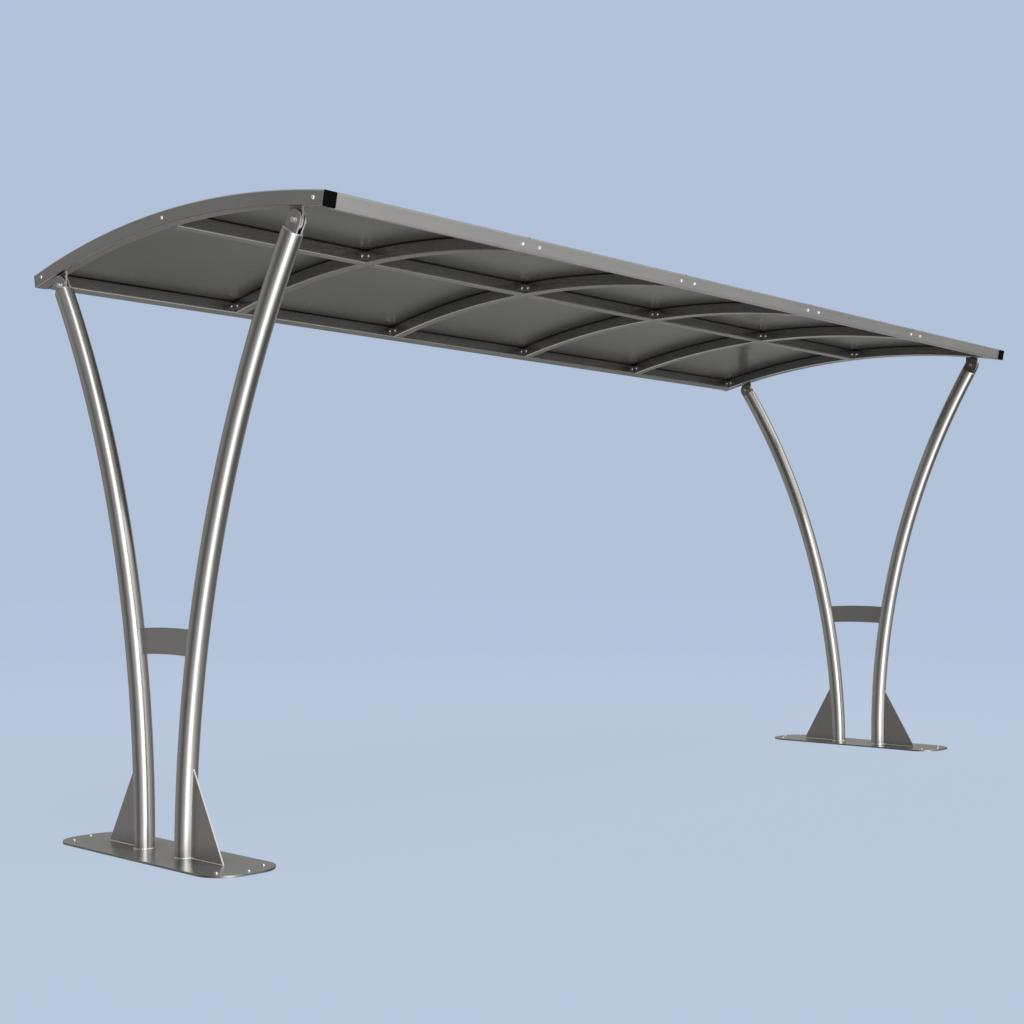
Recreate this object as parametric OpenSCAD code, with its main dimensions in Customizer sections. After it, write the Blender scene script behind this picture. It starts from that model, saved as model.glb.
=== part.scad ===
// Free-standing bicycle shelter: an arched roof of square tube and sheet on two pairs of bowed
// posts. X runs along the roof, the front is towards -Y, and Z is up from the floor.
// The origin is on the floor, in the middle.

/* [Roof] */
// Length of the roof over the end ribs
roof_length = 5000; // [4000:50:6000]
// Depth of the roof, front to rear, at the top of the end ribs
roof_depth = 1960; // [1600:10:2400]
// Height of the rib tops at the crown
crown_height = 2430; // [2000:10:3000]
// Radius of the arch, at the top of the ribs
arch_radius = 4670; // [3800:10:6000]
// Outer size of the square tube of ribs, rails and purlin
tube = 55; // [40:1:60]
// Wall of the square tube
tube_wall = 3; // [2:0.5:4]
// Outer radius of the corners of the square tube
tube_corner = 5; // [4.5:0.5:8]
// Thickness of the roof sheet
sheet = 2; // [1.5:0.5:4]
// Distance of the roof sheet from the outer faces of the frame
sheet_setback = 15; // [5:1:20]
// Gap between two roof panels, over an inner rib
sheet_gap = 4; // [2:1:8]

/* [Posts] */
// Outside diameter of the posts
post_od = 80; // [76:1:96]
// Wall of the posts
post_wall = 3; // [2:0.5:5]
// Distance between the front and rear post of a pair, at the foot
post_spacing = 274; // [220:2:340]
// Distance of the hinge pins from the front and rear ends of the ribs
pin_inset = 185; // [150:1:230]
// Drop of the hinge pins below the underside of the ribs
pin_drop = 47; // [46:1:70]

/* [Fork and lug] */
// Distance of the hinge pin from the end of the post
fork_neck = 42; // [36:1:52]
// Thickness of each ear of the fork
ear = 6; // [5:1:10]
// Radius of the round top of an ear
ear_radius = 37; // [32:1:38]
// Thickness of the disc that closes the post
fork_disc = 4; // [3:1:6]
// Thickness of the hanger lug
lug = 8; // [6:1:12]
// Width of the hanger lug
lug_width = 70; // [56:2:74]
// Gap between the hanger lug and each ear
lug_gap = 3; // [0:1:5]
// Diameter of the hinge pin
pin_d = 12; // [10:1:16]
// Width of the pin's hexagons, across the flats
hex_flats = 19; // [17:1:24]

/* [Feet] */
// Length of a base plate, front to rear
plate_length = 1120; // [1060:10:1400]
// Width of a base plate
plate_width = 310; // [270:5:370]
// Thickness of a base plate
plate = 8; // [6:1:15]
// Radius of the corners of a base plate
plate_corner = 120; // [80:5:130]
// Diameter of the anchor holes
anchor_d = 12; // [10:1:16]
// Distance of the four corner anchor holes from the long edges of the plate
side_inset = 55; // [40:1:70]
// Distance of the four corner anchor holes from the ends of the plate
corner_inset = 80; // [60:1:120]
// Distance of the two end anchor holes from the ends of the plate
end_inset = 30; // [25:1:50]
// Reach of a gusset from the side of its post
gusset_reach = 203; // [150:1:250]
// Height of a gusset
gusset_height = 325; // [250:5:400]
// Thickness of a gusset
gusset = 6; // [5:1:10]
// Height of a tie plate
tie_height = 100; // [80:5:140]
// Height of the middle of a tie plate above the floor
tie_level = 796; // [700:5:900]
// Rise of the arched edges of a tie plate
tie_rise = 5; // [3:1:10]
// Thickness of a tie plate
tie = 5; // [4:1:8]

/* [Trim] */
// Thickness of the flange of an end cap
cap = 3; // [2:1:5]
// Depth of an end cap inside its tube
cap_plug = 15; // [10:1:25]
// Length of the legs of a corner bracket
bracket_leg = 36; // [32:1:40]
// Thickness of a corner bracket
bracket = 3; // [2:1:4]
// Height of a corner bracket
bracket_height = 34; // [26:1:36]

/* [Hidden] */
$fn = 96;

STAINLESS = "#8f8d89";
DARK_STAINLESS = "#5c5b58";
SHEET_GREY = "#565654";
CAP_BLACK = "#0c0c0c";

LEFT = -1;
RIGHT = 1;
FRONT = -1;
REAR = 1;

// The arch: its axis lies along X, far below the floor.
arch_axis = crown_height - arch_radius;
arch_angle = asin(roof_depth / 2 / arch_radius);
under_radius = arch_radius - tube;
// Straight tubes lie a hair lower than the ribs, so that their flat tops stay under the sheet.
flat_top = sqrt(pow(arch_radius, 2) - pow(tube / 2 - tube_corner, 2));
// The ribs stand at equal bays between the middles of the end ribs.
bays = 5;
end_x = roof_length / 2 - tube / 2;
bay = 2 * end_x / bays;
function rib_x(i) = -end_x + i * bay;
// The rails fill the ends of the arch, and the inner ribs butt against them.
rail_angle = arch_angle - atan(tube / 2 / under_radius);
inner_rib_angle = rail_angle - atan(tube / 2 / under_radius);

// The hinge pins hang below the end ribs.
pin_y = roof_depth / 2 - pin_inset;
pin_z = arch_axis + sqrt(pow(under_radius, 2) - pow(pin_y, 2)) - pin_drop;
// The posts rise plumb from the base plate and bend outwards. Each ends in a straight fork whose
// pin is the hinge pin, and one radius of bend leads there.
post_y = post_spacing / 2;
lean = pin_y - post_y;
rise = pin_z - plate;
post_bend = (pow(lean, 2) + pow(rise, 2) - pow(fork_neck, 2)) / (2 * lean);
bend_y = post_y + post_bend;
post_angle = atan2(rise, post_bend - lean) - atan(fork_neck / post_bend);
post_end_y = bend_y - post_bend * cos(post_angle);
post_end_z = plate + post_bend * sin(post_angle);
function post_centre(z) = bend_y - sqrt(pow(post_bend, 2) - pow(z - plate, 2));

// The hexagons are as thick as those of a standard bolt, and a length of thread shows past the nut.
fork_thickness = lug + 2 * lug_gap + 2 * ear;
hex_height = 0.6 * pin_d;
pin_tail = 1.5 * pin_d;
pin_length = fork_thickness + 2 * hex_height + pin_tail;
// Play around the pins and plugs, and the step where the fork's disc sits on the post.
pin_clearance = 0.25;
plug_play = 0.3;
disc_step = 1;
// Steps of a full turn on the long arcs, and on the holes.
arc_steps = 720;
hole_steps = 48;

// Moves children to the middle of the left or right end, under the end rib.
module at_end(side) { translate([side * end_x, 0, 0]) children(); }

// Mirrors children, drawn for the rear, to the front where asked.
module on_side(face) { mirror([0, face == FRONT ? 1 : 0, 0]) children(); }

// A slab across X, centred on x = 0, from an outline drawn in Y and Z.
module across_x(thickness) {
    translate([-thickness / 2, 0, 0])
        rotate([90, 0, 90])
            linear_extrude(thickness)
                children();
}

// A bar bent along the arch, from its section: distance from the axis, and width along X.
module arched(half_angle) {
    translate([0, 0, arch_axis])
        rotate([0, -90, 0])
            rotate([0, 0, -half_angle])
                rotate_extrude(angle = 2 * half_angle, $fn = arc_steps)
                    children();
}

// The frame of a place on the arch: Z points away from its axis and Y down the slope.
module on_arch(angle) {
    translate([0, 0, arch_axis])
        rotate([-angle, 0, 0])
            children();
}

module rounded_square(size, corner) {
    square([size, size - 2 * corner], center = true);
    square([size - 2 * corner, size], center = true);
    for (sx = [-1, 1], sy = [-1, 1])
        translate([sx, sy] * (size / 2 - corner))
            circle(corner, $fn = hole_steps);
}

module square_tube_section() {
    difference() {
        rounded_square(tube, tube_corner);
        rounded_square(tube - 2 * tube_wall, tube_corner - tube_wall);
    }
}

/* ---- feet and posts ---- */

module plate_outline() {
    straight = plate_length - 2 * plate_corner;
    square([plate_width - 2 * plate_corner, plate_length], center = true);
    square([plate_width, straight], center = true);
    for (sx = [-1, 1], sy = [-1, 1])
        translate([sx * (plate_width / 2 - plate_corner), sy * straight / 2])
            circle(plate_corner);
}

module anchor_hole() {
    translate([0, 0, -1])
        cylinder(d = anchor_d, h = plate + 2, $fn = hole_steps);
}

module base_plate(side) {
    color(STAINLESS)
        at_end(side)
            difference() {
                linear_extrude(plate)
                    plate_outline();
                for (sx = [-1, 1], sy = [-1, 1])
                    translate([sx * (plate_width / 2 - side_inset),
                               sy * (plate_length / 2 - corner_inset), 0])
                        anchor_hole();
                for (sy = [-1, 1])
                    translate([0, sy * (plate_length / 2 - end_inset), 0])
                        anchor_hole();
            }
}

module post(side, face) {
    color(STAINLESS)
        at_end(side)
            on_side(face)
                translate([0, bend_y, plate])
                    rotate([90, 0, -90])
                        rotate_extrude(angle = post_angle, $fn = arc_steps)
                            translate([post_bend, 0])
                                difference() {
                                    circle(d = post_od);
                                    circle(d = post_od - 2 * post_wall);
                                }
}

// The area inside a circle about the centre of a rear post's bend, seen along X.
module bend_disc(radius) {
    translate([bend_y, plate])
        circle(radius, $fn = arc_steps);
}

module gusset_plate(side, face) {
    top = plate + gusset_height;
    toe = post_y + post_od / 2 + gusset_reach;
    color(STAINLESS)
        at_end(side)
            on_side(face)
                across_x(gusset)
                    intersection() {
                        polygon([[post_y, plate], [toe, plate],
                                 [post_centre(top) + post_od / 2, top], [post_y, top]]);
                        bend_disc(post_bend - post_od / 2);
                    }
}

// A plate between the posts, between their centre lines and cut back to their faces.
module tie_plate(side) {
    half = post_centre(tie_level) - post_od / 2;
    edge_radius = (half * half + tie_rise * tie_rise) / (2 * tie_rise);
    color(STAINLESS)
        at_end(side)
            across_x(tie)
                difference() {
                    intersection() {
                        translate([0, tie_level])
                            square([2 * post_centre(tie_level), 2 * tie_height], center = true);
                        translate([0, tie_level + tie_height / 2 - edge_radius])
                            circle(edge_radius, $fn = arc_steps);
                    }
                    translate([0, tie_level - tie_height / 2 - edge_radius])
                        circle(edge_radius, $fn = arc_steps);
                    bend_disc(post_bend + post_od / 2);
                    mirror([1, 0])
                        bend_disc(post_bend + post_od / 2);
                }
}

/* ---- forks, lugs and hinge pins ---- */

module ear_outline() {
    difference() {
        union() {
            translate([0, fork_neck])
                circle(ear_radius);
            translate([-ear_radius, fork_disc / 2])
                square([2 * ear_radius, fork_neck - fork_disc / 2]);
        }
        translate([0, fork_neck])
            circle(d = pin_d + 2 * pin_clearance, $fn = hole_steps);
    }
}

module fork(side, face) {
    color(STAINLESS)
        at_end(side)
            on_side(face)
                translate([0, post_end_y, post_end_z])
                    rotate([-post_angle, 0, 0]) {
                        cylinder(d = post_od - 2 * disc_step, h = fork_disc);
                        for (sx = [-1, 1])
                            translate([sx * (fork_thickness - ear) / 2, 0, 0])
                                across_x(ear)
                                    ear_outline();
                    }
}

module hanger_lug(side, face) {
    color(STAINLESS)
        at_end(side)
            on_side(face)
                across_x(lug)
                    difference() {
                        intersection() {
                            translate([pin_y, pin_z]) {
                                circle(d = lug_width);
                                translate([-lug_width / 2, 0])
                                    square([lug_width, 2 * pin_drop]);
                            }
                            translate([0, arch_axis])
                                circle(under_radius, $fn = arc_steps);
                        }
                        translate([pin_y, pin_z])
                            circle(d = pin_d + 2 * pin_clearance, $fn = hole_steps);
                    }
}

module hexagon(height) { cylinder(d = hex_flats / cos(30), h = height, $fn = 6); }

// A bolt along X with its head outside, its nut inside, and a tail of thread.
module hinge_pin() {
    rotate([0, 90, 0]) {
        translate([0, 0, fork_thickness / 2 + hex_height - pin_length])
            cylinder(d = pin_d, h = pin_length);
        translate([0, 0, -fork_thickness / 2 - hex_height])
            hexagon(hex_height);
        translate([0, 0, fork_thickness / 2])
            hexagon(hex_height);
    }
}

module hinge_pins() {
    color(STAINLESS)
        for (side = [LEFT, RIGHT], face = [FRONT, REAR])
            translate([side * end_x, face * pin_y, pin_z])
                mirror([side == LEFT ? 1 : 0, 0, 0])
                    hinge_pin();
}

/* ---- roof frame ---- */

module rib(x, half_angle) {
    color(DARK_STAINLESS)
        translate([x, 0, 0])
            arched(half_angle)
                translate([arch_radius - tube / 2, 0])
                    square_tube_section();
}

// A straight square tube along X, centred on x = 0, with its top at z = 0.
module straight_tube(length) {
    translate([-length / 2, 0, -tube / 2])
        rotate([90, 0, 90])
            linear_extrude(length)
                square_tube_section();
}

module rail(face) {
    color(STAINLESS)
        on_side(face)
            on_arch(rail_angle)
                translate([0, 0, flat_top])
                    straight_tube(roof_length - 2 * tube);
}

module purlin(i) {
    color(DARK_STAINLESS)
        translate([rib_x(i - 0.5), 0, arch_axis + flat_top])
            straight_tube(bay - tube);
}

// One bay of the roof sheet: its edges meet over the inner ribs and stay inside the outer faces.
module roof_panel(i) {
    left = i == 1 ? -roof_length / 2 + sheet_setback : rib_x(i - 1) + sheet_gap / 2;
    right = i == bays ? roof_length / 2 - sheet_setback : rib_x(i) - sheet_gap / 2;
    color(SHEET_GREY)
        translate([(left + right) / 2, 0, 0])
            arched(arch_angle - asin(sheet_setback / arch_radius))
                translate([arch_radius + sheet / 2, 0])
                    square([sheet, right - left], center = true);
}

/* ---- trim ---- */

// A cap with a flange over the end of an end rib, at y = 0, and a plug inside it.
module end_cap() {
    plug = tube - 2 * tube_wall - 2 * plug_play;
    translate([0, cap, -tube / 2])
        rotate([90, 0, 0]) {
            linear_extrude(cap)
                rounded_square(tube, tube_corner);
            linear_extrude(cap + cap_plug)
                rounded_square(plug, tube_corner - tube_wall);
        }
}

module end_caps() {
    color(CAP_BLACK)
        for (side = [LEFT, RIGHT], face = [FRONT, REAR])
            at_end(side)
                on_side(face)
                    on_arch(arch_angle)
                        translate([0, 0, arch_radius])
                            end_cap();
}

// An angle in the corner of a face across Y and a rib to its left, with the corner at the origin.
module corner_bracket() {
    translate([0, -bracket, -bracket_height / 2])
        cube([bracket_leg, bracket, bracket_height]);
    translate([0, -bracket_leg, -bracket_height / 2])
        cube([bracket, bracket_leg, bracket_height]);
}

// The brackets of a row: two in each bay, on the side towards the front of a rear-drawn member.
module bracket_row(angle, face) {
    color(STAINLESS)
        on_side(face)
            on_arch(angle)
                for (i = [1:bays], s = [-1, 1])
                    translate([rib_x(i - 0.5) - s * (bay - tube) / 2, -tube / 2,
                               arch_radius - tube / 2])
                        mirror([s < 0 ? 1 : 0, 0, 0])
                            corner_bracket();
}

base_plate(LEFT);  // base_plate_left
base_plate(RIGHT);  // base_plate_right
post(LEFT, FRONT);  // post_left_front
post(LEFT, REAR);  // post_left_rear
post(RIGHT, FRONT);  // post_right_front
post(RIGHT, REAR);  // post_right_rear
gusset_plate(LEFT, FRONT);  // gusset_left_front
gusset_plate(LEFT, REAR);  // gusset_left_rear
gusset_plate(RIGHT, FRONT);  // gusset_right_front
gusset_plate(RIGHT, REAR);  // gusset_right_rear
tie_plate(LEFT);  // tie_plate_left
tie_plate(RIGHT);  // tie_plate_right
fork(LEFT, FRONT);  // fork_left_front
fork(LEFT, REAR);  // fork_left_rear
fork(RIGHT, FRONT);  // fork_right_front
fork(RIGHT, REAR);  // fork_right_rear
hanger_lug(LEFT, FRONT);  // lug_left_front
hanger_lug(LEFT, REAR);  // lug_left_rear
hanger_lug(RIGHT, FRONT);  // lug_right_front
hanger_lug(RIGHT, REAR);  // lug_right_rear
hinge_pins();
rib(-end_x, arch_angle);  // end_rib_left
rib(end_x, arch_angle);  // end_rib_right
rib(rib_x(1), inner_rib_angle);  // rib_1
rib(rib_x(2), inner_rib_angle);  // rib_2
rib(rib_x(3), inner_rib_angle);  // rib_3
rib(rib_x(4), inner_rib_angle);  // rib_4
rail(FRONT);  // front_rail
rail(REAR);  // rear_rail
purlin(1);  // purlin_1
purlin(2);  // purlin_2
purlin(3);  // purlin_3
purlin(4);  // purlin_4
purlin(5);  // purlin_5
roof_panel(1);  // roof_panel_1
roof_panel(2);  // roof_panel_2
roof_panel(3);  // roof_panel_3
roof_panel(4);  // roof_panel_4
roof_panel(5);  // roof_panel_5
end_caps();
bracket_row(rail_angle, FRONT);  // front_rail_brackets
bracket_row(rail_angle, REAR);  // rear_rail_brackets
bracket_row(0, REAR);  // purlin_front_brackets
bracket_row(0, FRONT);  // purlin_rear_brackets
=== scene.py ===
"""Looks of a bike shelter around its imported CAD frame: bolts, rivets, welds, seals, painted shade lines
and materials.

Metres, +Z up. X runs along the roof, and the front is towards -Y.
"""

import math
import random

import bmesh
import bpy
from mathutils import Matrix, Vector


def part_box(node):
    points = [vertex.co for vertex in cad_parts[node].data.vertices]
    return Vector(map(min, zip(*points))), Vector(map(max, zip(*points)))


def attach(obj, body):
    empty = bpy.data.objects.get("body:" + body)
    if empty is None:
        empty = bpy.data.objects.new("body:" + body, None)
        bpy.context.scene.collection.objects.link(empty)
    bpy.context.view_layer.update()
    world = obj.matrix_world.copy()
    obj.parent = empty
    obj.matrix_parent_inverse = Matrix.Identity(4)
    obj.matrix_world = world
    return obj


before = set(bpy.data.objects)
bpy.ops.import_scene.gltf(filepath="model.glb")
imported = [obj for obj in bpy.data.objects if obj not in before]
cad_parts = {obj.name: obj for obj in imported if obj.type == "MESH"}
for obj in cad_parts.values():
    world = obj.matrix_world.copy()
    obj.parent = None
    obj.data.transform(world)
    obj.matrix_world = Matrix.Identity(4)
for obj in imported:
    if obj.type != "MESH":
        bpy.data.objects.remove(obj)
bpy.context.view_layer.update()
rng = random.Random(7)

BODY = "root"
LEFT, RIGHT = -1, 1
FRONT, REAR = -1, 1
TURN = 2 * math.pi

# ---- the frame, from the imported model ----

RIB_LOW, RIB_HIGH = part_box("end_rib_right")
POST_LOW, POST_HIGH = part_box("post_right_rear")
PLATE_LOW, PLATE_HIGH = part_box("base_plate_right")
GUSSET_LOW, GUSSET_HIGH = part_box("gusset_right_rear")
TIE_LOW, TIE_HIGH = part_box("tie_plate_right")

TUBE = RIB_HIGH.x - RIB_LOW.x
END_X = (RIB_HIGH.x + RIB_LOW.x) / 2
ROOF_HALF = RIB_HIGH.y
CROWN = RIB_HIGH.z
ARCH_RADIUS = 4.670
ARCH_AXIS = CROWN - ARCH_RADIUS
ARCH_ANGLE = math.asin(ROOF_HALF / ARCH_RADIUS)
RAIL_ANGLE = ARCH_ANGLE - math.atan(TUBE / 2 / (ARCH_RADIUS - TUBE))
BAYS = 5
BAY = 2 * END_X / BAYS
SHEET = 0.002
SHEET_GAP = 0.004
SHEET_SETBACK = 0.015

POST_OD = POST_HIGH.x - POST_LOW.x
POST_Y = POST_LOW.y + POST_OD / 2
PLATE_TOP = PLATE_HIGH.z
POST_BEND = 4.1783
BEND_Y = POST_Y + POST_BEND

# ---- camera, as in the picture ----

CAMERA_AT = Vector((-5.5605, -4.7971, 1.0240))
CAMERA_YAW = 0.8032
CAMERA_PITCH = 0.0453
CAMERA_ROLL = -0.0051
CAMERA_LENS = 51.66


def rib_x(i):
    return -END_X + i * BAY


def make_camera():
    ahead = Vector((math.sin(CAMERA_YAW) * math.cos(CAMERA_PITCH),
                    math.cos(CAMERA_YAW) * math.cos(CAMERA_PITCH),
                    math.sin(CAMERA_PITCH)))
    level = Vector((math.cos(CAMERA_YAW), -math.sin(CAMERA_YAW), 0))
    above = level.cross(ahead)
    right = math.cos(CAMERA_ROLL) * level + math.sin(CAMERA_ROLL) * above
    up = math.cos(CAMERA_ROLL) * above - math.sin(CAMERA_ROLL) * level
    data = bpy.data.cameras.new("camera")
    data.lens = CAMERA_LENS
    data.sensor_width = 36
    data.clip_end = 200
    camera = bpy.data.objects.new("camera", data)
    turn = Matrix((right, up, -ahead)).transposed().to_4x4()
    camera.matrix_world = Matrix.Translation(CAMERA_AT) @ turn
    bpy.context.scene.collection.objects.link(camera)
    bpy.context.scene.camera = camera


# ---- mesh helpers ----


def finish_piece(name, bm, material, smooth_angle=40):
    """Turns a bmesh into a named piece that rides on the shelter."""
    bmesh.ops.recalc_face_normals(bm, faces=bm.faces)
    mesh = bpy.data.meshes.new(name)
    bm.to_mesh(mesh)
    bm.free()
    mesh.shade_smooth()
    mesh.set_sharp_from_angle(angle=math.radians(smooth_angle))
    mesh.materials.append(material)
    piece = bpy.data.objects.new(name, mesh)
    bpy.context.scene.collection.objects.link(piece)
    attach(piece, BODY)
    return piece


def hexagon_factor(angle):
    """Distance to the outline of a hexagon, as a share of half its width across the flats."""
    return 1 / math.cos((angle % math.radians(60)) - math.radians(30))


def revolve(bm, place, rings, steps=24):
    """A closed turned shape about Z of place. A ring is (radius, height) or (radius, height, True)
    for a hexagonal one."""
    rows = []
    for radius, height, *hexagonal in rings:
        row = []
        for k in range(steps):
            angle = TURN * k / steps
            reach = radius * (hexagon_factor(angle) if hexagonal else 1)
            spot = Vector((reach * math.cos(angle), reach * math.sin(angle), height))
            row.append(bm.verts.new(place @ spot))
        rows.append(row)
    for low, high in zip(rows, rows[1:]):
        for k in range(steps):
            m = (k + 1) % steps
            bm.faces.new((low[k], low[m], high[m], high[k]))
    bm.faces.new(rows[0][::-1])
    bm.faces.new(rows[-1])


def facing(point, normal, spin=0):
    """A place at point whose Z runs along normal."""
    turn = Vector(normal).to_track_quat("Z", "Y").to_matrix().to_4x4()
    return Matrix.Translation(point) @ turn @ Matrix.Rotation(spin, 4, "Z")


def arch_place(x, angle, radius):
    """A place on the arch, with Z away from its axis and Y down the rear slope."""
    return (Matrix.Translation((x, 0, ARCH_AXIS)) @ Matrix.Rotation(-angle, 4, "X")
            @ Matrix.Translation((0, 0, radius)))


def sweep(bm, points, radius, sides=8, closed=False, ripple=0.0, ripple_step=0.006):
    """A round bead along points. With ripple it swells a little at every ripple_step."""
    count = len(points)
    rows = []
    travelled = 0.0
    normal = None
    for k, point in enumerate(points):
        before = points[(k - 1) % count] if closed or k else point
        after = points[(k + 1) % count] if closed or k < count - 1 else point
        along = (after - before).normalized()
        if normal is None:
            normal = along.orthogonal().normalized()
        normal = (normal - along * normal.dot(along)).normalized()
        side = along.cross(normal)
        if k:
            travelled += (point - points[k - 1]).length
        reach = radius * (1 + ripple * math.sin(TURN * travelled / ripple_step))
        rows.append([bm.verts.new(point + reach * (math.cos(TURN * s / sides) * normal
                                                   + math.sin(TURN * s / sides) * side))
                     for s in range(sides)])
    pairs = list(zip(rows, rows[1:])) + ([(rows[-1], rows[0])] if closed else [])
    for low, high in pairs:
        shift = 0
        if closed and low is rows[-1]:
            shift = min(range(sides), key=lambda s: (low[0].co - high[s].co).length)
        for s in range(sides):
            t = (s + 1) % sides
            bm.faces.new((low[s], low[t], high[(t + shift) % sides], high[(s + shift) % sides]))
    if not closed:
        bm.faces.new(rows[0][::-1])
        bm.faces.new(rows[-1])


def line_points(start, end, step):
    count = max(2, round((end - start).length / step) + 1)
    return [start.lerp(end, k / (count - 1)) for k in range(count)]


def arc_points(x, radius, low_angle, high_angle, step):
    count = max(2, round(radius * abs(high_angle - low_angle) / step) + 1)
    angles = [low_angle + (high_angle - low_angle) * k / (count - 1) for k in range(count)]
    return [arch_place(x, angle, radius).translation for angle in angles]


# ---- fasteners ----

BUTTON_RADIUS = 0.0070
WASHER_RADIUS = 0.0085


def button_head(bm, place, size=1.0):
    """A button-head bolt with a hexagon socket, on a thin washer."""
    r = BUTTON_RADIUS * size
    washer = WASHER_RADIUS * size
    base = 0.0012 * size
    rings = [(washer * 0.97, -0.0002), (washer, 0.0004 * size), (washer * 0.97, base), (r * 1.02, base),
             (r, base + 0.0006 * size), (r * 0.95, base + 0.0018 * size), (r * 0.82, base + 0.0030 * size),
             (r * 0.64, base + 0.0039 * size), (r * 0.47, base + 0.0043 * size),
             (r * 0.34, base + 0.0043 * size, True), (r * 0.34, base + 0.0020 * size, True)]
    revolve(bm, place, rings)


def rivet_head(bm, place):
    """The low domed head of a roof rivet."""
    rings = [(0.0052, -0.0002), (0.0054, 0.0004), (0.0046, 0.0011), (0.0030, 0.0016), (0.0012, 0.0018)]
    revolve(bm, place, rings, steps=16)


def anchor_head(bm, place):
    """A low domed anchor head on a washer, over an anchor hole."""
    rings = [(0.0095, -0.0002), (0.0097, 0.0006), (0.0093, 0.0014), (0.0064, 0.0014), (0.0063, 0.0022),
             (0.0058, 0.0038), (0.0047, 0.0050), (0.0034, 0.0057), (0.0026, 0.0058),
             (0.0021, 0.0058, True), (0.0021, 0.0036, True)]
    revolve(bm, place, rings)


def make_end_rib_bolts(steel):
    """Three heads on the outer face of each end rib, where the rails and the purlin bolt on."""
    middle = ARCH_RADIUS - TUBE / 2
    for side, name in ((LEFT, "left"), (RIGHT, "right")):
        bm = bmesh.new()
        for angle in (-RAIL_ANGLE + TUBE / 2 / middle, 0, RAIL_ANGLE - TUBE / 2 / middle):
            point = arch_place(side * (END_X + TUBE / 2), angle, middle).translation
            button_head(bm, facing(point, (side, 0, 0), rng.random()))
        finish_piece(f"end_rib_bolts_{name}", bm, steel)


def make_rail_bolts(steel):
    """A pair of heads on the outer face of each rail, on both sides of every inner rib."""
    from_rib = 0.047
    for face, name in ((FRONT, "front"), (REAR, "rear")):
        bm = bmesh.new()
        for i in range(1, BAYS):
            for side in (LEFT, RIGHT):
                place = arch_place(rib_x(i) + side * from_rib, face * RAIL_ANGLE, ARCH_RADIUS - TUBE / 2)
                outward = (place.to_3x3() @ Vector((0, face, 0))).normalized()
                point = place.translation + outward * TUBE / 2
                button_head(bm, facing(point, outward, rng.random()))
        finish_piece(f"{name}_rail_bolts", bm, steel)


def make_bracket_bolts(steel):
    """One head on each leg of every corner bracket."""
    reach = 0.022
    thickness = 0.003
    size = 0.65
    rows = (("front_rail", FRONT * RAIL_ANGLE, REAR), ("rear_rail", REAR * RAIL_ANGLE, FRONT),
            ("purlin_front", 0, FRONT), ("purlin_rear", 0, REAR))
    for name, angle, inward in rows:
        bm = bmesh.new()
        for i in range(1, BAYS + 1):
            for side in (LEFT, RIGHT):
                corner = rib_x(i - 0.5) + side * (BAY - TUBE) / 2
                place = arch_place(corner, angle, ARCH_RADIUS - TUBE / 2)
                wall = place @ Matrix.Translation((0, inward * TUBE / 2, 0))
                turn = place.to_3x3()
                on_member = wall @ Vector((-side * reach, inward * thickness, 0))
                on_rib = wall @ Vector((-side * thickness, inward * reach, 0))
                button_head(bm, facing(on_member, turn @ Vector((0, inward, 0)), rng.random()), size)
                button_head(bm, facing(on_rib, turn @ Vector((-side, 0, 0)), rng.random()), size)
        finish_piece(f"{name}_bracket_bolts", bm, steel)


def make_anchors(steel):
    """A head over every anchor hole: four near the corners and one near each end of a plate."""
    side_inset, corner_inset, end_inset = 0.055, 0.080, 0.030
    half_width = (PLATE_HIGH.x - PLATE_LOW.x) / 2
    half_length = PLATE_HIGH.y
    for end, name in ((LEFT, "left"), (RIGHT, "right")):
        bm = bmesh.new()
        spots = [(0, sy * (half_length - end_inset)) for sy in (-1, 1)]
        spots += [(sx * (half_width - side_inset), sy * (half_length - corner_inset))
                  for sx in (-1, 1) for sy in (-1, 1)]
        for x, y in spots:
            anchor_head(bm, facing((end * END_X + x, y, PLATE_TOP), (0, 0, 1), rng.random()))
        finish_piece(f"anchor_heads_{name}", bm, steel)


def make_roof_rivets(steel):
    """Rivets through the sheets into the ribs, the rails and the purlin."""
    edge = 0.012
    per_rib = 9
    per_bay = 5
    top = ARCH_RADIUS + SHEET
    bm = bmesh.new()
    for i in range(BAYS + 1):
        sides = (LEFT, RIGHT) if 0 < i < BAYS else (0,)
        for side in sides:
            for k in range(per_rib):
                angle = RAIL_ANGLE * (2 * k / (per_rib - 1) - 1)
                rivet_head(bm, arch_place(rib_x(i) + side * edge, angle, top))
    for i in range(BAYS):
        for k in range(1, per_bay + 1):
            x = rib_x(i) + BAY * k / (per_bay + 1)
            for angle in (-RAIL_ANGLE, 0, RAIL_ANGLE):
                rivet_head(bm, arch_place(x, angle, top))
    finish_piece("roof_rivets", bm, steel)


# ---- welds, seals and painted shade lines ----

# Spacing of the points along a rippled bead.
WELD_STEP = 0.002


def post_centre(z):
    """Distance of a post's centre line from the middle, at height z."""
    return BEND_Y - math.sqrt(POST_BEND ** 2 - (z - PLATE_TOP) ** 2)


def make_post_welds(steel):
    """A rippled fillet around the foot of each post."""
    bead = 0.0042
    steps = 120
    for end, name in ((LEFT, "left"), (RIGHT, "right")):
        bm = bmesh.new()
        for face in (FRONT, REAR):
            ring = [Vector((end * END_X + POST_OD / 2 * math.cos(TURN * k / steps),
                            face * POST_Y + POST_OD / 2 * math.sin(TURN * k / steps),
                            PLATE_TOP)) for k in range(steps)]
            sweep(bm, ring, bead, closed=True, ripple=0.10)
        finish_piece(f"post_foot_welds_{name}", bm, steel)


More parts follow.
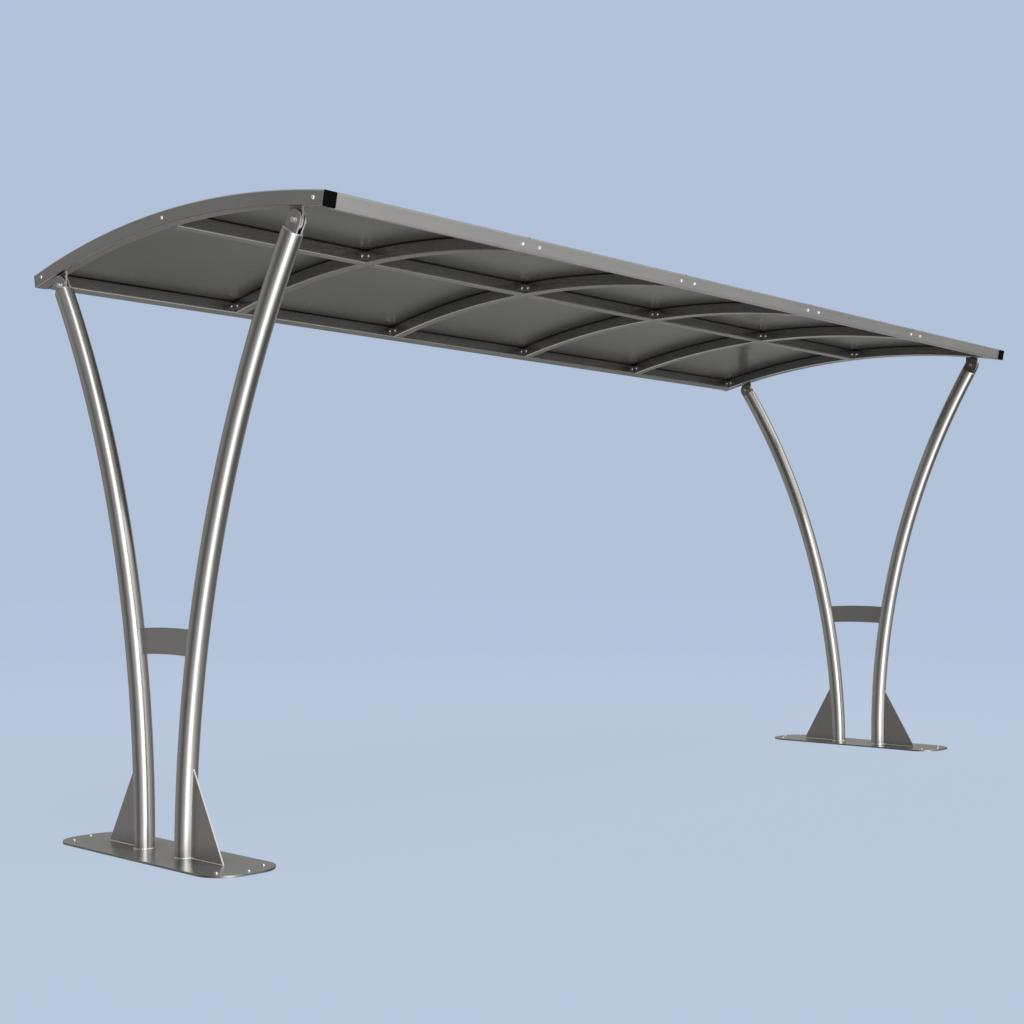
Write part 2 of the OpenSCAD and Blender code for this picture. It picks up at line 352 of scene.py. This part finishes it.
def make_gusset_welds(steel):
    """Fine fillets where a gusset meets its base plate and its post, on both faces."""
    bead = 0.0018
    sunk = 0.0003
    half = (GUSSET_HIGH.x - GUSSET_LOW.x) / 2
    post_side = POST_Y + POST_OD / 2
    for end, name in ((LEFT, "left"), (RIGHT, "right")):
        bm = bmesh.new()
        for face in (FRONT, REAR):
            for side in (-half, half):
                x = end * END_X + side
                foot = line_points(Vector((x, face * post_side, PLATE_TOP)),
                                   Vector((x, face * GUSSET_HIGH.y, PLATE_TOP)), WELD_STEP)
                sweep(bm, foot, bead, sides=6, ripple=0.12)
                count = 150
                climb = []
                for k in range(count + 1):
                    z = PLATE_TOP + (GUSSET_HIGH.z - PLATE_TOP) * k / count
                    climb.append(Vector((x, face * (post_centre(z) + POST_OD / 2 - sunk), z)))
                sweep(bm, climb, bead, sides=6, ripple=0.12)
        finish_piece(f"gusset_welds_{name}", bm, steel)


def make_tie_welds(steel):
    """Fillets where the ends of a tie plate meet the posts."""
    bead = 0.0018
    half = (TIE_HIGH.x - TIE_LOW.x) / 2
    above_bottom, below_top = 0.004, 0.006
    low = TIE_LOW.z + above_bottom
    high = TIE_HIGH.z - below_top
    count = 50
    for end, name in ((LEFT, "left"), (RIGHT, "right")):
        bm = bmesh.new()
        for face in (FRONT, REAR):
            for side in (-half, half):
                climb = []
                for k in range(count + 1):
                    z = low + (high - low) * k / count
                    climb.append(Vector((end * END_X + side, face * (post_centre(z) - POST_OD / 2), z)))
                sweep(bm, climb, bead, sides=6, ripple=0.12)
        finish_piece(f"tie_welds_{name}", bm, steel)


def make_lug_welds(steel):
    """A bead round the top of each hanger lug, under the rib."""
    bead = 0.0022
    for end, name in ((LEFT, "left"), (RIGHT, "right")):
        bm = bmesh.new()
        for face, word in ((FRONT, "front"), (REAR, "rear")):
            low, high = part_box(f"lug_{name}_{word}")
            corners = [(low.x, low.y), (high.x, low.y), (high.x, high.y), (low.x, high.y)]
            ring = []
            for (x0, y0), (x1, y1) in zip(corners, corners[1:] + corners[:1]):
                steps = max(2, round((abs(x1 - x0) + abs(y1 - y0)) / WELD_STEP))
                for k in range(steps):
                    x = x0 + (x1 - x0) * k / steps
                    y = y0 + (y1 - y0) * k / steps
                    ring.append(Vector((x, y, ARCH_AXIS + math.sqrt((ARCH_RADIUS - TUBE) ** 2 - y * y))))
            sweep(bm, ring, bead, sides=6, closed=True, ripple=0.10)
        finish_piece(f"lug_welds_{name}", bm, steel)


def make_shade_line_beads(dark_polymer):
    """Thin black beads in the corner between the sheet and the frame below it, round every field: a painted
    shade line where the sheet lies on the frame.
    """
    bead = 0.0030
    across = ARCH_RADIUS - 0.0018
    sunk = 0.0012
    arc_step = 0.03
    line_step = 0.1
    field = (BAY - TUBE) / 2
    bm = bmesh.new()
    for i in range(BAYS):
        middle = rib_x(i + 0.5)
        for side in (LEFT, RIGHT):
            x = middle + side * (field + sunk)
            sweep(bm, arc_points(x, across, -RAIL_ANGLE, RAIL_ANGLE, arc_step), bead, sides=6)
        for angle in (-RAIL_ANGLE, 0, RAIL_ANGLE):
            for side in (LEFT, RIGHT):
                if angle * side > 0:
                    continue
                turn = angle + side * (TUBE / 2 - sunk) / ARCH_RADIUS
                start = arch_place(middle - field, turn, across).translation
                end = arch_place(middle + field, turn, across).translation
                sweep(bm, line_points(start, end, line_step), bead, sides=6)
    # These beads paint the dark shade line along the top edges of the frame.
    finish_piece("shade_line_beads", bm, dark_polymer)


def make_joint_strips(dark_polymer):
    """The sealed joints between neighbouring roof panels, on top of the inner ribs."""
    half_gap = SHEET_GAP / 2
    reach = ARCH_ANGLE - math.asin(SHEET_SETBACK / ARCH_RADIUS)
    foot = 0.0001
    lip = half_gap + 0.003
    shoulder = half_gap + 0.0022
    profile = ((-half_gap, foot), (half_gap, foot), (lip, SHEET), (shoulder, SHEET + 0.0012),
               (0, SHEET + 0.0019), (-shoulder, SHEET + 0.0012), (-lip, SHEET))
    steps = 90
    bm = bmesh.new()
    for i in range(1, BAYS):
        rows = []
        for k in range(steps + 1):
            place = arch_place(rib_x(i), reach * (2 * k / steps - 1), ARCH_RADIUS)
            rows.append([bm.verts.new(place @ Vector((x, 0, z))) for x, z in profile])
        for low, high in zip(rows, rows[1:]):
            for s in range(len(profile)):
                t = (s + 1) % len(profile)
                bm.faces.new((low[s], low[t], high[t], high[s]))
        bm.faces.new(rows[0][::-1])
        bm.faces.new(rows[-1])
    finish_piece("panel_joint_strips", bm, dark_polymer)


# ---- materials ----

# Colour of the cut edges: their matt finish, made near white as a painted highlight on the rims.
CUT_EDGE_AND_HIGHLIGHT = (0.95, 0.94, 0.92)
CUT_ROUGHNESS = 0.48
# Scale of the texture along the brushing, which draws its grain out into lines.
ALONG_BRUSHING = 0.02
# Shares of the fine lines, the broad lines and the slow clouds in brushed steel.
FINE_SHARE, BROAD_SHARE, CLOUD_SHARE = 0.4, 0.3, 0.3
# Shares of the grain and the slow clouds in the roof sheet.
SHEET_GRAIN_SHARE, SHEET_CLOUD_SHARE = 0.15, 0.85
# How far the painted shade of a corner reaches on the frame and on the sheet, and how dark it gets there.
NOOK_REACH, SHEET_NOOK_REACH, SHEET_CORNER_SHADE = 0.15, 0.35, 0.50
# How open a point is where that painted shade is deepest, and where it ends.
NOOK_SHUT, NOOK_OPEN = 0.25, 0.95
# How squarely a face looks along X where it counts as a cut edge, and where as a flat side.
EDGE_BELOW, FLAT_ABOVE = 0.5, 0.8


class Graph:
    """Short calls for building a node tree."""

    def __init__(self, tree):
        self.tree = tree
        tree.nodes.clear()

    def node(self, kind, **values):
        made = self.tree.nodes.new(kind)
        for key, value in values.items():
            setattr(made, key, value)
        return made

    def link(self, source, target):
        self.tree.links.new(source, target)

    def math(self, operation, a, b=None):
        made = self.node("ShaderNodeMath", operation=operation)
        for socket, value in zip(made.inputs, (a, b)):
            if value is None:
                continue
            if isinstance(value, (int, float)):
                socket.default_value = value
            else:
                self.link(value, socket)
        return made.outputs[0]

    def combine(self, x, y, z):
        made = self.node("ShaderNodeCombineXYZ")
        for socket, value in zip(made.inputs, (x, y, z)):
            self.link(value, socket)
        return made.outputs[0]

    def noise(self, vector, scale, detail=3.0, roughness=0.5):
        made = self.node("ShaderNodeTexNoise")
        made.inputs["Scale"].default_value = scale
        made.inputs["Detail"].default_value = detail
        made.inputs["Roughness"].default_value = roughness
        self.link(vector, made.inputs["Vector"])
        return made.outputs["Fac"]

    def spread(self, value, low, high, from_low=0.3, from_high=0.7):
        made = self.node("ShaderNodeMapRange")
        made.inputs["From Min"].default_value = from_low
        made.inputs["From Max"].default_value = from_high
        made.inputs["To Min"].default_value = low
        made.inputs["To Max"].default_value = high
        self.link(value, made.inputs["Value"])
        return made.outputs["Result"]

    def tint(self, value, dark, light):
        made = self.node("ShaderNodeMix", data_type="RGBA")
        made.inputs["A"].default_value = (*dark, 1)
        made.inputs["B"].default_value = (*light, 1)
        self.link(value, made.inputs["Factor"])
        return made.outputs["Result"]


def new_material(name):
    material = bpy.data.materials.new(name)
    material.use_nodes = True
    graph = Graph(material.node_tree)
    shader = graph.node("ShaderNodeBsdfPrincipled")
    output = graph.node("ShaderNodeOutputMaterial")
    graph.link(shader.outputs[0], output.inputs["Surface"])
    place = graph.node("ShaderNodeTexCoord").outputs["Object"]
    return material, graph, shader, place


def straight_lines(graph, place, axis):
    """Coordinates for brushing that runs along one axis."""
    split = graph.node("ShaderNodeSeparateXYZ")
    graph.link(place, split.inputs[0])
    parts = [graph.math("MULTIPLY", split.outputs[k], ALONG_BRUSHING if name == axis else 1.0)
             for k, name in enumerate("xyz")]
    return graph.combine(*parts)


def arch_lines(graph, place):
    """Coordinates for brushing that runs round the arch of the roof."""
    split = graph.node("ShaderNodeSeparateXYZ")
    graph.link(place, split.inputs[0])
    height = graph.math("SUBTRACT", split.outputs[2], ARCH_AXIS)
    depth = split.outputs[1]
    distance = graph.math("SQRT", graph.math("ADD", graph.math("MULTIPLY", depth, depth),
                                             graph.math("MULTIPLY", height, height)))
    turn = graph.math("MULTIPLY", graph.math("ARCTAN2", depth, height), ALONG_BRUSHING * ARCH_RADIUS)
    return graph.combine(split.outputs[0], turn, distance)


def post_lines(graph, place):
    """Coordinates for brushing that runs up a bowed post."""
    split = graph.node("ShaderNodeSeparateXYZ")
    graph.link(place, split.inputs[0])
    inward = graph.math("SUBTRACT", BEND_Y, graph.math("ABSOLUTE", split.outputs[1]))
    height = graph.math("SUBTRACT", split.outputs[2], PLATE_TOP)
    distance = graph.math("SQRT", graph.math("ADD", graph.math("MULTIPLY", inward, inward),
                                             graph.math("MULTIPLY", height, height)))
    turn = graph.math("MULTIPLY", graph.math("ARCTAN2", height, inward), ALONG_BRUSHING * POST_BEND)
    return graph.combine(split.outputs[0], distance, turn)


def paint_corner_shade(graph, colour, reach, darkest):
    """Darkens a colour in corners with painted shade, by how closed in the point is."""
    nook = graph.node("ShaderNodeAmbientOcclusion", samples=8)
    nook.inputs["Distance"].default_value = reach
    share = graph.spread(nook.outputs["AO"], darkest, 1, NOOK_SHUT, NOOK_OPEN)
    scaled = graph.node("ShaderNodeVectorMath", operation="SCALE")
    graph.link(colour, scaled.inputs[0])
    graph.link(share, scaled.inputs["Scale"])
    return scaled.outputs[0]


def paint_cut_edges_and_highlight(graph, shader, colour, roughness):
    """Matt cut edges on plates that lie across X, made near white as a painted highlight: every face that
    does not look along X.
    """
    split = graph.node("ShaderNodeSeparateXYZ")
    graph.link(graph.node("ShaderNodeTexCoord").outputs["Normal"], split.inputs[0])
    flat = graph.spread(graph.math("ABSOLUTE", split.outputs[0]), 0, 1, EDGE_BELOW, FLAT_ABOVE)
    mixed = graph.node("ShaderNodeMix", data_type="RGBA")
    graph.link(flat, mixed.inputs["Factor"])
    mixed.inputs["A"].default_value = (*CUT_EDGE_AND_HIGHLIGHT, 1)
    graph.link(colour, mixed.inputs["B"])
    graph.link(mixed.outputs["Result"], shader.inputs["Base Color"])
    gloss = graph.math("ADD", graph.math("MULTIPLY", roughness, flat),
                       graph.math("MULTIPLY", CUT_ROUGHNESS, graph.math("SUBTRACT", 1, flat)))
    graph.link(gloss, shader.inputs["Roughness"])


def brushed_steel(name, lines, dark, light, roughness, grain=420, bump=0.02, edge=0.0, corner_shade=0.0,
                  cut_edges_and_highlight=False):
    """Brushed stainless steel: fine lines in colour, gloss and relief, over a slow cloudiness."""
    material, graph, shader, place = new_material(name)
    coordinates = lines(graph, place)
    fine = graph.noise(coordinates, grain, detail=4, roughness=0.65)
    broad = graph.noise(coordinates, grain / 9, detail=2)
    cloud = graph.noise(place, 3.1, detail=2)
    mixed = graph.math("ADD", graph.math("MULTIPLY", fine, FINE_SHARE),
                       graph.math("ADD", graph.math("MULTIPLY", broad, BROAD_SHARE),
                                  graph.math("MULTIPLY", cloud, CLOUD_SHARE)))
    shader.inputs["Metallic"].default_value = 1.0
    colour = graph.tint(graph.spread(mixed, 0, 1), dark, light)
    # Painted shade in the corners.
    if corner_shade:
        colour = paint_corner_shade(graph, colour, NOOK_REACH, corner_shade)
    gloss = graph.spread(mixed, roughness * 0.82, roughness * 1.2)
    # Cut edges get their matt finish and a painted highlight.
    if cut_edges_and_highlight:
        paint_cut_edges_and_highlight(graph, shader, colour, gloss)
    else:
        graph.link(colour, shader.inputs["Base Color"])
        graph.link(gloss, shader.inputs["Roughness"])
    relief = graph.node("ShaderNodeBump")
    relief.inputs["Strength"].default_value = bump
    relief.inputs["Distance"].default_value = 0.001
    graph.link(fine, relief.inputs["Height"])
    if edge:
        rounding = graph.node("ShaderNodeBevel", samples=4)
        rounding.inputs["Radius"].default_value = edge
        graph.link(rounding.outputs[0], relief.inputs["Normal"])
    graph.link(relief.outputs[0], shader.inputs["Normal"])
    return material


def sheet_steel(name, dark, light, roughness):
    """Satin sheet with a faint rolled grain along X, slow waves and painted shade in its corners."""
    material, graph, shader, place = new_material(name)
    grain = graph.noise(straight_lines(graph, place, "x"), 300, detail=3)
    cloud = graph.noise(place, 1.7, detail=2)
    mixed = graph.math("ADD", graph.math("MULTIPLY", grain, SHEET_GRAIN_SHARE),
                       graph.math("MULTIPLY", cloud, SHEET_CLOUD_SHARE))
    shader.inputs["Metallic"].default_value = 1.0
    # Painted shade in the corners.
    colour = paint_corner_shade(graph, graph.tint(graph.spread(mixed, 0, 1), dark, light),
                        SHEET_NOOK_REACH, SHEET_CORNER_SHADE)
    graph.link(colour, shader.inputs["Base Color"])
    graph.link(graph.spread(mixed, roughness * 0.9, roughness * 1.12), shader.inputs["Roughness"])
    relief = graph.node("ShaderNodeBump")
    relief.inputs["Strength"].default_value = 0.03
    relief.inputs["Distance"].default_value = 0.004
    graph.link(cloud, relief.inputs["Height"])
    graph.link(relief.outputs[0], shader.inputs["Normal"])
    return material


def plain_steel(name, dark, light, roughness):
    """Satin steel of bolts and weld beads, with fine mottling."""
    material, graph, shader, place = new_material(name)
    speck = graph.noise(place, 700, detail=3)
    shader.inputs["Metallic"].default_value = 1.0
    graph.link(graph.tint(graph.spread(speck, 0, 1), dark, light), shader.inputs["Base Color"])
    graph.link(graph.spread(speck, roughness * 0.8, roughness * 1.25), shader.inputs["Roughness"])
    relief = graph.node("ShaderNodeBump")
    relief.inputs["Strength"].default_value = 0.15
    relief.inputs["Distance"].default_value = 0.0003
    graph.link(speck, relief.inputs["Height"])
    graph.link(relief.outputs[0], shader.inputs["Normal"])
    return material


def black_polymer(name, dark, light, roughness, grain):
    """Black plastic or sealant with a fine moulded grain."""
    material, graph, shader, place = new_material(name)
    speck = graph.noise(place, grain, detail=2)
    graph.link(graph.tint(graph.spread(speck, 0, 1), dark, light), shader.inputs["Base Color"])
    graph.link(graph.spread(speck, roughness * 0.9, roughness * 1.1), shader.inputs["Roughness"])
    shader.inputs["Specular IOR Level"].default_value = 0.08
    relief = graph.node("ShaderNodeBump")
    relief.inputs["Strength"].default_value = 0.2
    relief.inputs["Distance"].default_value = 0.0002
    graph.link(speck, relief.inputs["Height"])
    graph.link(relief.outputs[0], shader.inputs["Normal"])
    return material


def along(axis):
    return lambda graph, place: straight_lines(graph, place, axis)


def make_materials():
    steel_dark, steel_light = (0.485, 0.475, 0.455), (0.515, 0.505, 0.485)
    plate_dark, plate_light = (0.55, 0.54, 0.52), (0.68, 0.67, 0.65)
    frame_dark, frame_light = (0.42, 0.41, 0.39), (0.52, 0.51, 0.49)
    return {
        "post": brushed_steel("post_steel", post_lines, (0.56, 0.55, 0.53), (0.70, 0.69, 0.67), 0.20),
        "rib": brushed_steel("rib_steel", arch_lines, frame_dark, frame_light, 0.27, corner_shade=0.42),
        "rail": brushed_steel("rail_steel", along("x"), frame_dark, frame_light, 0.27, corner_shade=0.42),
        # The front rail wears a lighter, rougher copy of the frame steel: painted light on its face.
        "front_rail": brushed_steel("lit_front_rail_steel", along("x"), (0.64, 0.63, 0.61),
                                    (0.74, 0.73, 0.71), 0.42, corner_shade=0.35),
        # The corner brackets wear a darker copy of the frame steel: painted shade for the corners they sit
        # in.
        "bracket": brushed_steel("shaded_bracket_steel", along("x"), (0.30, 0.29, 0.28), (0.38, 0.37, 0.36), 0.34),
        "plate": brushed_steel("plate_steel", along("y"), plate_dark, plate_light, 0.24, edge=0.0025,
                               corner_shade=0.30),
        "gusset": brushed_steel("gusset_steel", along("z"), steel_dark, steel_light, 0.30, bump=0.006,
                                cut_edges_and_highlight=True),
        "fork": brushed_steel("fork_steel", along("z"), steel_dark, steel_light, 0.28,
                              corner_shade=0.20, cut_edges_and_highlight=True),
        "sheet": sheet_steel("roof_sheet_steel", (0.36, 0.36, 0.35), (0.41, 0.41, 0.40), 0.26),
        "fastener": plain_steel("fastener_steel", (0.80, 0.79, 0.78), (0.94, 0.93, 0.92), 0.24),
        "weld": plain_steel("weld_steel", (0.72, 0.71, 0.69), (0.88, 0.87, 0.85), 0.22),
        "cap": black_polymer("cap_plastic", (0.001, 0.001, 0.001), (0.003, 0.003, 0.003), 0.70, 900),
        # Black sealant of the joint strips, also worn by the beads that paint the shade line under the
        # sheet.
        "seal_and_shade_line": black_polymer("sealant_and_shade_line", (0.006, 0.006, 0.006), (0.014, 0.014, 0.013), 0.65, 260),
    }


def material_key(node):
    """Which material a CAD node wears."""
    if node.startswith("post"):
        return "post"
    if node.startswith(("rib", "end_rib")):
        return "rib"
    if node.startswith("roof_panel"):
        return "sheet"
    if node == "end_caps":
        return "cap"
    if node.startswith("base_plate"):
        return "plate"
    if node.startswith(("gusset", "tie_plate")):
        return "gusset"
    if node.startswith(("fork", "lug")):
        return "fork"
    if node == "hinge_pins":
        return "fastener"
    if node == "front_rail":
        return "front_rail"
    if node.endswith("brackets"):
        return "bracket"
    return "rail"


def dress_nodes(materials):
    for name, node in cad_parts.items():
        material = materials[material_key(name)]
        if not node.material_slots:
            node.data.materials.append(material)
        for slot in node.material_slots:
            slot.material = material


# ---- studio ----

BACKDROP_TOP = (0.440, 0.533, 0.686)
BACKDROP_LEVEL = (0.448, 0.541, 0.697)
FLOOR_NEAR = (0.520, 0.617, 0.762)
FLOOR_FAR = (0.475, 0.573, 0.739)
# How strongly the floor glows in its own colour, and how much of it takes light and shadow.
FLOOR_GLOW = 0.80
FLOOR_SHADE = 0.24
# Where the floor's colour starts and stops fading, as distances from the middle.
FADE_START, FADE_END = 3.0, 14.0

# Brightness of the studio near the horizon: (direction in degrees from +X towards +Y, brightness).
STUDIO_WALLS = ((0, 0.16), (32, 0.33), (48, 0.29), (75, 0.26), (100, 0.25), (122, 0.30), (138, 0.25),
                (158, 0.17), (173, 0.11), (184, 0.18), (200, 0.34), (214, 0.48), (226, 0.85),
                (236, 2.0), (258, 2.2), (267, 1.15), (280, 0.85), (293, 0.70), (303, 0.52),
                (315, 0.40), (330, 0.29), (346, 0.18), (360, 0.16))
BRIGHTEST = 2.2
# The same well below the horizon, where only the front light keeps its strength.
STUDIO_LOW = ((0, 0.08), (40, 0.20), (100, 0.18), (160, 0.10), (200, 0.25), (226, 0.75), (236, 1.8),
              (258, 2.2), (267, 1.1), (280, 0.55), (295, 0.22), (320, 0.10), (360, 0.08))
# The same high up, where soft lights hang above the front and above the rear.
STUDIO_TOP = ((0, 0.25), (72, 0.25), (86, 0.80), (116, 0.80), (134, 0.25), (205, 0.30), (222, 0.70),
              (234, 1.9), (256, 2.1), (266, 1.1), (285, 1.0), (330, 1.0), (350, 0.25), (360, 0.25))
# Glow of the floor seen from above.
FLOOR_BOUNCE = 0.9
# Heights of a ray's direction, from -1 straight down to 1 straight up, where one part of the
# studio fades into the next.
LOW_END, WALLS_START = -0.42, -0.20
FLOOR_END, FLOOR_FADED = -0.80, -0.60
WALLS_END, TOP_START = 0.38, 0.56
BACKDROP_RISE = 0.40


def brightness_around(graph, share, stops):
    """Brightness by direction: share is a turn from 0 to 1, and stops hold degrees and brightness."""
    ramp = graph.node("ShaderNodeValToRGB")
    graph.link(share, ramp.inputs[0])
    elements = ramp.color_ramp.elements
    while len(elements) < len(stops):
        elements.new(0.5)
    for element, (degrees, brightness) in zip(elements, stops):
        element.position = degrees / 360
        element.color = (brightness / BRIGHTEST,) * 3 + (1,)
    return graph.math("MULTIPLY", ramp.outputs[0], BRIGHTEST)


def make_world():
    """A grey studio with a tall soft light in front. The camera itself sees the pale backdrop."""
    world = bpy.data.worlds.new("studio")
    world.use_nodes = True
    bpy.context.scene.world = world
    graph = Graph(world.node_tree)
    ray = graph.node("ShaderNodeTexCoord").outputs["Generated"]
    split = graph.node("ShaderNodeSeparateXYZ")
    graph.link(ray, split.inputs[0])
    turn = graph.math("ARCTAN2", split.outputs[1], split.outputs[0])
    share = graph.math("FRACT", graph.math("ADD", graph.math("DIVIDE", turn, TURN), 1.0))
    height = split.outputs[2]
    walls = brightness_around(graph, share, STUDIO_WALLS)
    top = brightness_around(graph, share, STUDIO_TOP)
    low = brightness_around(graph, share, STUDIO_LOW)
    level = graph.spread(height, 0, 1, LOW_END, WALLS_START)
    bounce = graph.spread(height, FLOOR_BOUNCE, 0, FLOOR_END, FLOOR_FADED)
    lift = graph.spread(height, 0, 1, WALLS_END, TOP_START)
    around = graph.math("ADD", graph.math("MULTIPLY", walls, level),
                        graph.math("MULTIPLY", low, graph.math("SUBTRACT", 1, level)))
    low_part = graph.math("MULTIPLY", around, graph.math("SUBTRACT", 1, lift))
    high_part = graph.math("MULTIPLY", top, lift)
    studio = graph.node("ShaderNodeBackground")
    glow = graph.math("ADD", graph.math("ADD", low_part, high_part), bounce)
    graph.link(glow, studio.inputs["Color"])
    backdrop = graph.node("ShaderNodeBackground")
    rise = graph.spread(height, 0, 1, 0.0, BACKDROP_RISE)
    graph.link(graph.tint(rise, BACKDROP_LEVEL, BACKDROP_TOP), backdrop.inputs["Color"])
    seen = graph.node("ShaderNodeLightPath").outputs["Is Camera Ray"]
    mix = graph.node("ShaderNodeMixShader")
    graph.link(seen, mix.inputs[0])
    graph.link(studio.outputs[0], mix.inputs[1])
    graph.link(backdrop.outputs[0], mix.inputs[2])
    output = graph.node("ShaderNodeOutputWorld")
    graph.link(mix.outputs[0], output.inputs["Surface"])


def make_floor():
    """A wide pale floor that fades into the backdrop and takes a faint shadow."""
    radius = 60.0
    bm = bmesh.new()
    bmesh.ops.create_circle(bm, cap_ends=True, radius=radius, segments=96)
    mesh = bpy.data.meshes.new("studio_floor")
    bm.to_mesh(mesh)
    bm.free()
    floor = bpy.data.objects.new("studio_floor", mesh)
    floor.location.z = -0.001
    bpy.context.scene.collection.objects.link(floor)
    material, graph, shader, place = new_material("floor_paint")
    length = graph.node("ShaderNodeVectorMath", operation="LENGTH")
    graph.link(place, length.inputs[0])
    far = graph.spread(length.outputs["Value"], 0, 1, FADE_START, FADE_END)
    colour = graph.tint(far, FLOOR_NEAR, FLOOR_FAR)
    shader.inputs["Specular IOR Level"].default_value = 0.0
    graph.link(colour, shader.inputs["Emission Color"])
    shader.inputs["Emission Strength"].default_value = FLOOR_GLOW
    albedo = graph.node("ShaderNodeMix", data_type="RGBA")
    albedo.inputs["Factor"].default_value = FLOOR_SHADE
    albedo.inputs["A"].default_value = (0, 0, 0, 1)
    graph.link(colour, albedo.inputs["B"])
    graph.link(albedo.outputs["Result"], shader.inputs["Base Color"])
    mesh.materials.append(material)
    floor.visible_glossy = False
    floor.visible_diffuse = False


# ---- build ----

bpy.context.scene.view_settings.view_transform = "Standard"
make_camera()
make_world()
make_floor()
materials = make_materials()
dress_nodes(materials)
make_end_rib_bolts(materials["fastener"])
make_rail_bolts(materials["fastener"])
make_bracket_bolts(materials["fastener"])
make_anchors(materials["fastener"])
make_roof_rivets(materials["sheet"])
make_post_welds(materials["weld"])
make_gusset_welds(materials["weld"])
make_tie_welds(materials["weld"])
make_lug_welds(materials["weld"])
make_shade_line_beads(materials["seal_and_shade_line"])
make_joint_strips(materials["seal_and_shade_line"])
